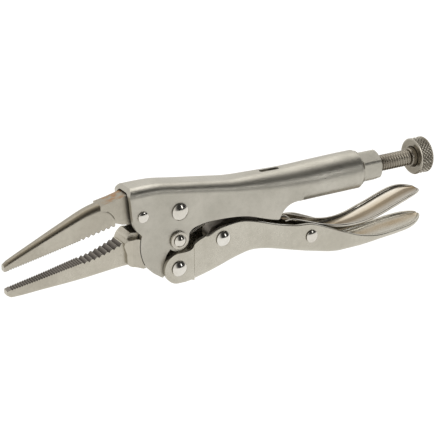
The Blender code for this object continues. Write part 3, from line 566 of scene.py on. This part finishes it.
def lower_handle():
    rings = []
    deep = 60.0
    for x in (-40.0, -24.2):
        rings.append(channel_ring(x, EAR_OUTER, -6.0, 34.0, HANDLE_SHEET, 3.0, deep))
    for x, part in ((-23.8, 0.06), (-23.4, 0.5), (-23.0, 0.92), (-22.6, 1.0)):
        half = EAR_OUTER + (CHANNEL_HALF + 0.1 - EAR_OUTER) * part
        rings.append(channel_ring(x, half, -6.0 + 9.7 * part, 34.0 - 4.0 * part, HANDLE_SHEET, 3.0, deep))
    stations = spread(-20.0, FLAT_START, 2.2) + spread(FLAT_START + 2.0, FLAT_END, 2.5)
    stations += spread(FLAT_END + 2.0, 104.0, 2.2) + spread(105.0, HANDLE_END, 0.8)
    for x in stations:
        trough = deep if x < 105.0 else 0.25 + 0.55 * (HANDLE_END - x)
        rings.append(channel_ring(x, blend(TAIL_WIDTH, x), handle_back(x), blend(HANDLE_RIM, x),
                                  HANDLE_SHEET, 3.0, trough))
    handle = grid_round("handle", rings)
    outline = arc(HANDLE_PIVOT, EAR_R, 96.0, 262.0, 36)
    outline += [(-28.4, 4.6), (-25.0, 5.0), (-22.0, 3.6), (-21.0, -8.0), (120.0, -8.0), (120.0, 40.0),
                (-14.0, 40.0)]
    outline += flowing([(-14.8, 25.2), (-18.0, 24.0), (-21.0, 22.8), (-23.4, 21.3), (-25.4, 19.7),
                        (-28.6, 19.3)], 3)
    boolean(handle, plate("handle_side", outline, -20.0, 20.0), "INTERSECT")
    opening = box("ear_opening", (-50.0, -EAR_INNER, -10.0), (-22.9, EAR_INNER, 40.0))
    boolean(handle, opening, "DIFFERENCE")
    opening = plate("front_floor", [(-30.0, -8.0), (-17.5, -8.0), (-17.5, 22.0), (-30.0, 22.0)],
                    -CHANNEL_HALF + HANDLE_SHEET, CHANNEL_HALF - HANDLE_SHEET)
    boolean(handle, opening, "DIFFERENCE")
    for place, radius in ((HANDLE_PIVOT, HOLE_R), (TOGGLE_PIVOT, HOLE_R), (LEVER_PIVOT, LEVER_PIN_R + GAP)):
        boolean(handle, pin_cutter("handle_hole", radius, CUTTER_HALF, place), "DIFFERENCE")
    return bevelled(merged_flats(handle), 0.3, 2, 50.0)


# ---------------------------------------------------------------- release lever

LEVER_END = 108.4
LEVER_RIM = ((29.5, 20.4), (33.0, 20.9), (38.0, 19.4), (44.0, 17.2), (50.0, 15.0), (60.0, 13.0),
             (70.0, 13.0), (80.0, 15.2), (90.0, 18.4), (97.0, 20.4), (103.0, 21.4), (LEVER_END, 21.2))
LEVER_DEPTH = ((29.5, 2.2), (35.0, 5.0), (41.0, 8.4), (50.0, 6.0), (60.0, 4.2), (70.0, 3.6),
               (85.0, 3.8), (97.0, 3.6), (104.0, 2.9), (LEVER_END, 2.0))
LEVER_SWEEP = ((50.0, 1.0), (62.0, 1.5), (78.0, 2.3), (LEVER_END, 2.3))
LEVER_WIDTH = ((29.5, 4.2), (34.0, 4.9), (50.0, 5.1), (57.0, 5.6), (66.0, 6.9), (74.0, 8.0), (80.0, 8.5),
               (96.0, 8.5), (101.0, 7.9), (105.0, 6.4), (107.4, 4.4), (LEVER_END, 2.8))


def release_lever():
    rings = []
    for x in spread(29.5, 101.0, 1.7) + spread(102.0, LEVER_END, 0.7):
        rim = blend(LEVER_RIM, x)
        trough = 20.0 if x < 102.0 else 0.25 + 0.4 * (LEVER_END - x)
        rings.append(channel_ring(x, blend(LEVER_WIDTH, x), rim - blend(LEVER_DEPTH, x), rim,
                                  LEVER_SHEET, 3.6, trough, blend(LEVER_SWEEP, x)))
    lever = grid_round("lever", rings)
    boolean(lever, pin_cutter("lever_hole", LEVER_PIN_R + GAP, CUTTER_HALF, LEVER_PIVOT), "DIFFERENCE")
    return lever


# ---------------------------------------------------------------- turned pieces

def dome(radius, rise, steps=10):
    """Points of a low dome from its crown to its rim, as (radius, height above the rim)."""
    sphere = (radius * radius + rise * rise) / (2.0 * rise)
    reach = atan2(radius, sphere - rise)
    return [(sphere * sin(reach * i / steps), sphere * cos(reach * i / steps) - sphere + rise)
            for i in range(steps + 1)]


def rivet(name, place, shank, head, rise, face):
    """A rivet along Y: two domed heads on a shank, with the heads' undersides at +-face."""
    top = [(radius, height + face + 0.45) for radius, height in dome(head - 0.12, rise)]
    profile = top + [(head, face + 0.33), (head, face + 0.12), (head - 0.12, face), (shank, face)]
    profile += [(radius, -height) for radius, height in reversed(profile)]
    profile[0] = (0.0, profile[0][1])
    profile[-1] = (0.0, profile[-1][1])
    return turned(name, profile, "Y", place)


def washer(name, side):
    face = BODY_HALF + GAP
    bore = PIVOT_PIN_R + GAP
    profile = [(bore, face + WASHER_THICK), (WASHER_R - 0.3, face + WASHER_THICK),
               (WASHER_R - 0.09, face + WASHER_THICK - 0.09), (WASHER_R, face + WASHER_THICK - 0.3),
               (WASHER_R, face), (bore, face)]
    return turned(name, [(radius, side * height) for radius, height in profile], "Y", JAW_PIVOT)


def thread_radius(x, angle):
    """The thread's radius there: a right-hand ridge with a flat crest and sloping sides."""
    phase = ((x - SCREW_FRONT) / THREAD_PITCH - angle / (2.0 * pi)) % 1.0
    height = min(1.0, max(0.0, 1.28 - 2.9 * abs(phase - 0.5)))
    run_in = min(1.0, (x - SCREW_FRONT) / 1.5, (COLLAR_START - x) / 0.5)
    return SCREW_R - THREAD_DEPTH * (1.0 - height * max(0.0, run_in))


def adjusting_screw():
    rows = []

    def row(x, radius=None):
        """One ring of that radius, or of the thread's own where none is given."""
        ring = []
        for i in range(SCREW_STEPS):
            angle = 2.0 * pi * i / SCREW_STEPS
            r = thread_radius(x, angle) if radius is None else radius
            ring.append((x, r * cos(angle), SCREW_Z + r * sin(angle)))
        rows.append(ring)

    row(SCREW_FRONT, SCREW_R - 0.8)
    for x in spread(SCREW_FRONT + 0.05, COLLAR_START - 0.02, THREAD_PITCH / ROWS_A_PITCH):
        row(x)
    for x, radius in ((COLLAR_START, COLLAR_R - 0.45), (COLLAR_START + 0.12, COLLAR_R - 0.15),
                      (COLLAR_START + 0.4, COLLAR_R), (COLLAR_END - 0.4, COLLAR_R),
                      (COLLAR_END - 0.15, COLLAR_R - 0.08), (COLLAR_END, COLLAR_R - 0.3),
                      (COLLAR_END, TENON_R), (KNOB_END - 1.0, TENON_R), (KNOB_END - 0.7, TENON_R - 0.14),
                      (KNOB_END - 0.6, TENON_R - 0.45)):
        row(x, radius)
    return grid_round("screw", rows)


def knurl(x, angle):
    """Height of the diamond knurl's pyramids there, from 0 to 1."""
    along = (x - KNOB_START) * KNURLS_ROUND / (2.0 * pi * KNOB_R)
    around = angle * KNURLS_ROUND / (2.0 * pi)
    one = abs((around + along) % 1.0 - 0.5) * 2.0
    two = abs((around - along) % 1.0 - 0.5) * 2.0
    return 1.0 - max(one, two)


def screw_knob():
    steps = KNURLS_ROUND * KNURL_STEPS
    rows = []

    def row(x, radius, depth):
        ring = []
        for i in range(steps):
            angle = 2.0 * pi * i / steps
            r = radius - depth * (1.0 - min(1.0, 1.25 * knurl(x, angle)))
            ring.append((x, r * cos(angle), SCREW_Z + r * sin(angle)))
        rows.append(ring)

    row(KNOB_END - 0.4, KNOB_BORE_R, 0.0)
    row(KNOB_END - 0.4, KNOB_R - 2.0, 0.0)
    row(KNOB_END - 0.25, KNOB_R - 1.75, 0.0)
    row(KNOB_END, KNOB_R - 1.5, 0.0)
    row(KNOB_END, KNOB_R - 1.0, 0.0)
    row(KNOB_END - 0.2, KNOB_R - 0.6, 0.0)
    band_start, band_end = KNOB_START + 0.45, KNOB_END - 0.6
    for i in range(KNURL_ROWS + 1):
        x = band_end + (band_start - band_end) * i / KNURL_ROWS
        fade = min(1.0, i / 2.0, (KNURL_ROWS - i) / 2.0)
        row(x, KNOB_R, KNURL_DEPTH * fade)
    row(KNOB_START + 0.12, KNOB_R - 0.4, 0.0)
    row(KNOB_START, KNOB_R - 0.8, 0.0)
    row(KNOB_START, KNOB_R - 1.5, 0.0)
    row(KNOB_START + 0.3, COLLAR_R + 1.6, 0.0)
    row(KNOB_START + 0.3, COLLAR_R + 0.55, 0.0)
    row(KNOB_START + 0.45, COLLAR_R + GAP, 0.0)
    row(KNOB_START + 1.6, COLLAR_R + GAP, 0.0)
    row(KNOB_START + 1.6, KNOB_BORE_R, 0.0)
    return grid_round("knob", rows, False)


# ---------------------------------------------------------------- link and spring

LINK_HALF = 3.0
LINK_END = (30.75, 36.6)


def toggle_link():
    direction = atan2(LINK_END[1] - TOGGLE_PIVOT[1], LINK_END[0] - TOGGLE_PIVOT[0])
    angle = direction * 180.0 / pi
    outline = arc(TOGGLE_PIVOT, 4.6, angle + 100.0, angle + 268.0, 24)
    outline += [(4.0, 22.0), (14.0, 24.6), (22.0, 25.8), (26.0, 26.2), (29.0, 28.2), (30.4, 31.5)]
    outline += arc(LINK_END, 3.0, angle - 75.0, angle + 88.0, 18)
    outline += [(22.0, 37.6), (8.0, 31.4)]
    link = bevelled(plate("link", outline, -LINK_HALF, LINK_HALF), 0.4, 2, 60.0)
    return boolean(link, pin_cutter("link_hole", HOLE_R, CUTTER_HALF, TOGGLE_PIVOT), "DIFFERENCE")


TURN_POINTS = 14                # points in each turn of the coil


def tension_spring():
    """Wire from the eye in the jaw's tab, through the coils, to the slot in the spine."""
    run_x = SPRING_END[0] - SPRING_START[0]
    run_z = SPRING_END[1] - SPRING_START[1]
    length = hypot(run_x, run_z)
    along = Vector((run_x / length, 0.0, run_z / length))
    across = Vector((-along.z, 0.0, along.x))
    side = Vector((0.0, 1.0, 0.0))
    beside = -TAB_HALF - GAP - SPRING_WIRE_R
    points = [Vector((SPRING_EYE[0], 1.9, SPRING_EYE[1])),
              Vector((SPRING_EYE[0], beside, SPRING_EYE[1])),
              Vector((SPRING_EYE[0] + 4.0, beside, SPRING_EYE[1] + 1.6))]
    start = Vector((SPRING_START[0], 0.0, SPRING_START[1]))
    for i in range(SPRING_TURNS * TURN_POINTS + 1):
        angle = 2.0 * pi * i / TURN_POINTS
        t = i / (SPRING_TURNS * TURN_POINTS)
        points.append(start + along * (length * t)
                      + (side * -cos(angle) + across * sin(angle)) * SPRING_COIL_R)
    points += [Vector((SPRING_HOOK[0] - 5.2, -0.4, SPRING_HOOK[1] - 3.4)),
               Vector((SPRING_HOOK[0] - 1.2, 0.0, SPRING_HOOK[1] - 1.2)),
               Vector((SPRING_HOOK[0], 0.0, SPRING_HOOK[1])),
               Vector((SPRING_HOOK[0] + 2.6, 0.0, SPRING_HOOK[1] + 0.3))]
    curve = bpy.data.curves.new("spring", "CURVE")
    curve.dimensions = "3D"
    curve.bevel_depth = SPRING_WIRE_R * MM
    curve.bevel_resolution = 2
    curve.use_fill_caps = True
    spline = curve.splines.new("POLY")
    spline.points.add(len(points) - 1)
    for point, place in zip(spline.points, points):
        point.co = (*(place * MM), 1.0)
    guide = add_object("spring_curve", curve)
    mesh = applied(guide)
    bpy.data.objects.remove(guide, do_unlink=True)
    return add_object("spring", mesh)


# ---------------------------------------------------------------- metals

BUMP_DEPTH = 0.03 * MM
COPPER_FROM = -66.0 * MM        # where the copper-coloured tint on the top of the upper jaw's shank starts and is full
COPPER_FULL = -61.0 * MM
TROUGH_SHADE_MIDDLE = 1.2 * MM        # Y of the painted shade and brown reflection along a trough's floor, and where it thins and ends
TROUGH_SHADE_FULL = 1.0 * MM
TROUGH_SHADE_END = 5.0 * MM


def link_nodes(tree, start, end):
    tree.links.new(start, end)


def metal(name, colour, roughness, stain, grain=0.35, stretch=(1.0, 1.0, 1.0), rough_spread=0.08,
          pits=0.0, trough=None, back=None, worn=None, copper=None):
    """Plated steel: broad tone changes, fine grain in its gloss and bump, and darker low spots.

    The last four are colours: of the painted shade and brown reflection along a trough's floor, of the
    painted dark reflection along a jaw's back, of crests that are worn bright, and of a copper-coloured
    tint on the shank's up-facing top.
    """
    made = bpy.data.materials.new(name)
    made.use_nodes = True
    tree = made.node_tree
    shader = tree.nodes["Principled BSDF"]
    shader.inputs["Metallic"].default_value = 1.0

    def node(kind, **settings):
        item = tree.nodes.new(kind)
        for key, value in settings.items():
            setattr(item, key, value)
        return item

    def noise(scale, detail, vector):
        item = node("ShaderNodeTexNoise")
        item.inputs["Scale"].default_value = scale
        item.inputs["Detail"].default_value = detail
        link_nodes(tree, vector, item.inputs["Vector"])
        return item.outputs["Fac"]

    def mapped(value, low, high, start=0.35, end=0.65):
        item = node("ShaderNodeMapRange")
        item.inputs["From Min"].default_value = start
        item.inputs["From Max"].default_value = end
        item.inputs["To Min"].default_value = low
        item.inputs["To Max"].default_value = high
        link_nodes(tree, value, item.inputs["Value"])
        return item.outputs["Result"]

    def mixed(factor, first, second, mode="MIX"):
        item = node("ShaderNodeMix", data_type="RGBA", blend_type=mode)
        if isinstance(factor, float):
            item.inputs["Factor"].default_value = factor
        else:
            link_nodes(tree, factor, item.inputs["Factor"])
        for socket, value in ((item.inputs["A"], first), (item.inputs["B"], second)):
            if isinstance(value, tuple):
                socket.default_value = (*value, 1.0)
            else:
                link_nodes(tree, value, socket)
        return item.outputs["Result"]

    def arithmetic(operation, first, second=None):
        item = node("ShaderNodeMath", operation=operation)
        for socket, value in zip(item.inputs, (first, second)):
            if isinstance(value, float):
                socket.default_value = value
            elif value is not None:
                link_nodes(tree, value, socket)
        return item.outputs["Value"]

    where = node("ShaderNodeTexCoord").outputs["Object"]
    spot = node("ShaderNodeSeparateXYZ")
    link_nodes(tree, where, spot.inputs["Vector"])
    facing = node("ShaderNodeSeparateXYZ")
    link_nodes(tree, node("ShaderNodeNewGeometry").outputs["Normal"], facing.inputs["Vector"])
    scaled = node("ShaderNodeMapping")
    scaled.inputs["Scale"].default_value = stretch
    link_nodes(tree, where, scaled.inputs["Vector"])
    along = scaled.outputs["Vector"]

    broad = noise(55.0, 3.0, where)
    fine = noise(1400.0, 3.0, along)
    mottled = noise(420.0, 4.0, where)
    tone = mixed(mapped(broad, 0.0, 1.0), colour, stain)
    tone = mixed(mapped(mottled, 0.0, 0.22, 0.45, 0.75), tone, tuple(0.72 * c for c in stain))
    # Painted dark reflection along the rounded back of a jaw, on faces that face up, most on the near side.
    if back is not None:
        painted_dark_reflection = arithmetic("MULTIPLY", mapped(facing.outputs["Z"], 0.0, 0.95, 0.12, 0.45),
                               mapped(facing.outputs["Y"], 1.0, 0.25, -0.45, 0.3))
        tone = mixed(painted_dark_reflection, tone, back)
    # A copper-coloured tint, in patches, on the up-facing top of the shank, from X -66 mm towards the body.
    if copper is not None:
        reach = arithmetic("MULTIPLY", mapped(spot.outputs["X"], 0.0, 1.0, COPPER_FROM, COPPER_FULL),
                           mapped(facing.outputs["Z"], 0.0, 1.0, 0.55, 0.85))
        copper_tint = arithmetic("MULTIPLY", reach, mapped(noise(330.0, 3.0, where), 0.0, 0.85, 0.44, 0.62))
        tone = mixed(copper_tint, tone, copper)
    # Painted shade and brown reflection along the middle of a trough's floor, in patches.
    if trough is not None:
        off_centre = arithmetic("ABSOLUTE", arithmetic("SUBTRACT", spot.outputs["Y"], TROUGH_SHADE_MIDDLE))
        middle = mapped(off_centre, 0.95, 0.0, TROUGH_SHADE_FULL, TROUGH_SHADE_END)
        bottom = arithmetic("MULTIPLY", middle, mapped(facing.outputs["Z"], 0.0, 1.0, 0.25, 0.7))
        painted_trough_shade = arithmetic("MULTIPLY", bottom, mapped(noise(60.0, 3.0, along), 0.6, 1.0, 0.38, 0.6))
        tone = mixed(painted_trough_shade, tone, trough)
    if worn is not None:
        edge = node("ShaderNodeNewGeometry").outputs["Pointiness"]
        tone = mixed(mapped(edge, 0.0, 0.9, 0.52, 0.62), tone, worn)
    link_nodes(tree, tone, shader.inputs["Base Color"])

    speckle = mapped(fine, roughness - rough_spread, roughness + rough_spread, 0.3, 0.7)
    link_nodes(tree, arithmetic("ADD", speckle, mapped(broad, -0.03, 0.04)), shader.inputs["Roughness"])

    height = arithmetic("ADD", fine, mapped(noise(900.0, 2.0, where), 0.0, pits, 0.58, 0.72))
    bump = node("ShaderNodeBump")
    bump.inputs["Strength"].default_value = grain
    bump.inputs["Distance"].default_value = BUMP_DEPTH
    link_nodes(tree, height, bump.inputs["Height"])
    link_nodes(tree, bump.outputs["Normal"], shader.inputs["Normal"])
    return made


def darken_teeth(jaw, surface, side):
    """The faces of the teeth that face the other jaw, on top of the lower jaw or under the upper one, get a
    metal darkened with painted shade.
    """
    jaw.data.materials.append(surface)
    for face in jaw.data.polygons:
        spot = face.center / MM
        edge = blend(LOWER_EDGE if side > 0 else UPPER_EDGE, spot.x)
        if face.normal.z * side > 0.35 and spot.x < -57.5 and abs(spot.z - edge) < 1.4:
            face.material_index = 1


LENGTHWISE = (0.12, 1.0, 1.0)

nickel = metal("satin_nickel_body", (0.49, 0.468, 0.41), 0.37, (0.43, 0.41, 0.355), 0.65, pits=-1.6)
forged = metal("satin_nickel_forged", (0.49, 0.46, 0.39), 0.36, (0.43, 0.40, 0.335), 0.5, pits=-1.5)
# The upper jaw's back colour is a painted dark reflection along its rounded back.
upper_jaw_metal = metal("satin_nickel_upper_jaw", (0.49, 0.46, 0.39), 0.36, (0.43, 0.40, 0.335), 0.5,
                        pits=-1.5, back=(0.17, 0.145, 0.105), copper=(0.30, 0.15, 0.055))
# The handle's and the lever's trough colours are painted shade and brown reflection in their channels.
handle_metal = metal("satin_nickel_handle", (0.51, 0.485, 0.42), 0.32, (0.46, 0.435, 0.37), 0.35,
                     trough=(0.33, 0.25, 0.15))
lever_metal = metal("bright_nickel_lever", (0.52, 0.49, 0.43), 0.20, (0.46, 0.43, 0.37), 0.12,
                    LENGTHWISE, rough_spread=0.04, trough=(0.19, 0.135, 0.07))
bright = metal("polished_rivet", (0.70, 0.68, 0.63), 0.13, (0.60, 0.57, 0.51), 0.15, rough_spread=0.04)
washer_metal = metal("washer_steel", (0.56, 0.53, 0.47), 0.24, (0.46, 0.43, 0.37), 0.25)
machined = metal("machined_screw", (0.26, 0.235, 0.19), 0.30, (0.20, 0.175, 0.14), 0.3,
                 worn=(0.52, 0.48, 0.42))
knurled = metal("knurled_knob", (0.27, 0.25, 0.205), 0.28, (0.22, 0.195, 0.155), 0.3,
                worn=(0.72, 0.68, 0.60))
wire = metal("spring_wire", (0.60, 0.57, 0.51), 0.26, (0.48, 0.45, 0.40), 0.2)
inner = metal("link_steel", (0.26, 0.24, 0.21), 0.45, (0.19, 0.17, 0.15), 0.6, pits=-1.0)

finish(upper_body(), "upper_body", "root", nickel)
# The teeth's dark metal is painted shade between the jaws; its bright crests are wear.
teeth = metal("teeth_painted_shade_and_wear", (0.115, 0.10, 0.088), 0.42, (0.07, 0.06, 0.05), 0.8, pits=-1.0,
              worn=(0.42, 0.39, 0.34))
darken_teeth(finish(upper_jaw(), "upper_jaw", "root", upper_jaw_metal), teeth, -1.0)
darken_teeth(finish(lower_jaw(), "lower_jaw", "lower_jaw", forged), teeth, 1.0)
finish(lower_handle(), "lower_handle", "lower_handle", handle_metal)
finish(release_lever(), "release_lever", "release_lever", lever_metal)
finish(toggle_link(), "toggle_link", "toggle_link", inner)

plate_face = BODY_HALF + GAP
RIVETS = (
    ("jaw_rivet_front", "root", JAW_RIVET_FRONT, FRONT_PIN_R, 2.6, 0.55, plate_face - 0.1),
    ("jaw_rivet_rear", "root", JAW_RIVET_REAR, PIN_R, 4.1, 1.3, plate_face),
    ("jaw_pivot_rivet", "jaw_pivot", JAW_PIVOT, PIVOT_PIN_R, 2.9, 1.2, plate_face + WASHER_THICK + GAP),
    ("handle_pivot_rivet", "handle_pivot", HANDLE_PIVOT, PIN_R, 3.7, 1.4, EAR_OUTER + GAP),
    ("toggle_rivet", "lower_handle", TOGGLE_PIVOT, PIN_R, 3.7, 1.4, CHANNEL_HALF + GAP),
    ("release_lever_pin", "lower_handle", LEVER_PIVOT, LEVER_PIN_R, 3.1, 0.7, CHANNEL_HALF + GAP),
)
for node_name, body, place, shank, head, rise, face in RIVETS:
    finish(rivet(node_name + "_turned", place, shank, head, rise, face), node_name, body, bright)
finish(washer("washer_near", -1), "pivot_washer_near", "root", washer_metal)
finish(washer("washer_far", 1), "pivot_washer_far", "root", washer_metal)
finish(adjusting_screw(), "adjusting_screw", "screw", machined)
finish(screw_knob(), "screw_knob", "screw", knurled, 20.0)
finish(tension_spring(), "tension_spring", "root", wire, 60.0)
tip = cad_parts["screw_tip"]
tip.data.materials.clear()
tip.data.materials.append(machined)


# ---------------------------------------------------------------- camera, floor and light

VIEW_TURN = radians(30.0)
VIEW_DROP = radians(22.5)
VIEW_TARGET = Vector((-5.7185, 0.0, 28.223)) * MM
VIEW_DISTANCE = 0.69484
LENS = 124.14
SENSOR_WIDTH = 36.0

ahead = Vector((sin(VIEW_TURN) * cos(VIEW_DROP), cos(VIEW_TURN) * cos(VIEW_DROP), -sin(VIEW_DROP)))
right = Vector((cos(VIEW_TURN), -sin(VIEW_TURN), 0.0))
up = right.cross(ahead)
camera_data = bpy.data.cameras.new("camera")
camera_data.sensor_width = SENSOR_WIDTH
camera_data.lens = LENS
camera_data.clip_start = 0.01
camera = bpy.data.objects.new("camera", camera_data)
bpy.context.scene.collection.objects.link(camera)
stand = VIEW_TARGET - ahead * VIEW_DISTANCE
camera.matrix_world = Matrix.Translation(stand) @ Matrix((right, up, -ahead)).transposed().to_4x4()
bpy.context.scene.camera = camera


def area_light(name, target, direction, distance, size, size_y, power, colour=(1.0, 1.0, 1.0)):
    """A soft box that stands that way from its target, in metres, and faces it."""
    data = bpy.data.lights.new(name, "AREA")
    data.shape = "RECTANGLE"
    data.size = size
    data.size_y = size_y
    data.energy = power
    data.color = colour
    lamp = bpy.data.objects.new(name, data)
    bpy.context.scene.collection.objects.link(lamp)
    way = Vector(direction).normalized()
    lamp.location = Vector(target) + way * distance
    lamp.rotation_euler = way.to_track_quat("Z", "Y").to_euler()
    return lamp


centre = (0.0, 0.0, 0.03)
area_light("top_box", centre, (0.1, 0.45, 1.0), 1.1, 1.3, 0.9, 4.0)
area_light("front_strip", centre, (0.46, -0.78, 0.36), 1.0, 0.11, 0.34, 0.55)
area_light("left_fill", centre, (-1.0, -0.25, 0.45), 1.2, 0.5, 0.7, 1.2)

FLOOR_Z = -0.11                 # below the handle's lowest reach when it is fully open
FLOOR_RADIUS = 25.0
floor_mesh = bpy.data.meshes.new("floor")
bm = bmesh.new()
bmesh.ops.create_circle(bm, cap_ends=True, segments=96, radius=FLOOR_RADIUS)
bm.to_mesh(floor_mesh)
bm.free()
floor = add_object("floor", floor_mesh)
floor.location.z = FLOOR_Z
paper = bpy.data.materials.new("white_paper")
paper.use_nodes = True
sheet = paper.node_tree.nodes["Principled BSDF"]
sheet.inputs["Base Color"].default_value = (0.18, 0.18, 0.178, 1.0)
sheet.inputs["Roughness"].default_value = 0.8
sheet.inputs["Emission Color"].default_value = (1.0, 0.995, 0.985, 1.0)
sheet.inputs["Emission Strength"].default_value = 0.92
floor_mesh.materials.append(paper)

DARK_WAY = Vector((0.44, -0.80, 0.40)).normalized()     # the one dark side of the studio
DARK_EDGE = 0.42                # cosines from there at which the dark starts and is full
DARK_FULL = 0.84
BRIGHT_STRENGTH = 0.95
DARK_STRENGTH = 0.04

world = bpy.data.worlds.new("studio")
bpy.context.scene.world = world
world.use_nodes = True
sky = world.node_tree
background = sky.nodes["Background"]
way = sky.nodes.new("ShaderNodeTexCoord").outputs["Generated"]
dot = sky.nodes.new("ShaderNodeVectorMath")
dot.operation = "DOT_PRODUCT"
dot.inputs[1].default_value = DARK_WAY
sky.links.new(way, dot.inputs[0])
shade = sky.nodes.new("ShaderNodeMapRange")
shade.interpolation_type = "SMOOTHSTEP"
shade.inputs["From Min"].default_value = DARK_EDGE
shade.inputs["From Max"].default_value = DARK_FULL
shade.inputs["To Min"].default_value = BRIGHT_STRENGTH
shade.inputs["To Max"].default_value = DARK_STRENGTH
sky.links.new(dot.outputs["Value"], shade.inputs["Value"])
sky.links.new(shade.outputs["Result"], background.inputs["Strength"])
background.inputs["Color"].default_value = (1.0, 0.985, 0.96, 1.0)

bpy.context.scene.view_settings.view_transform = "Standard"
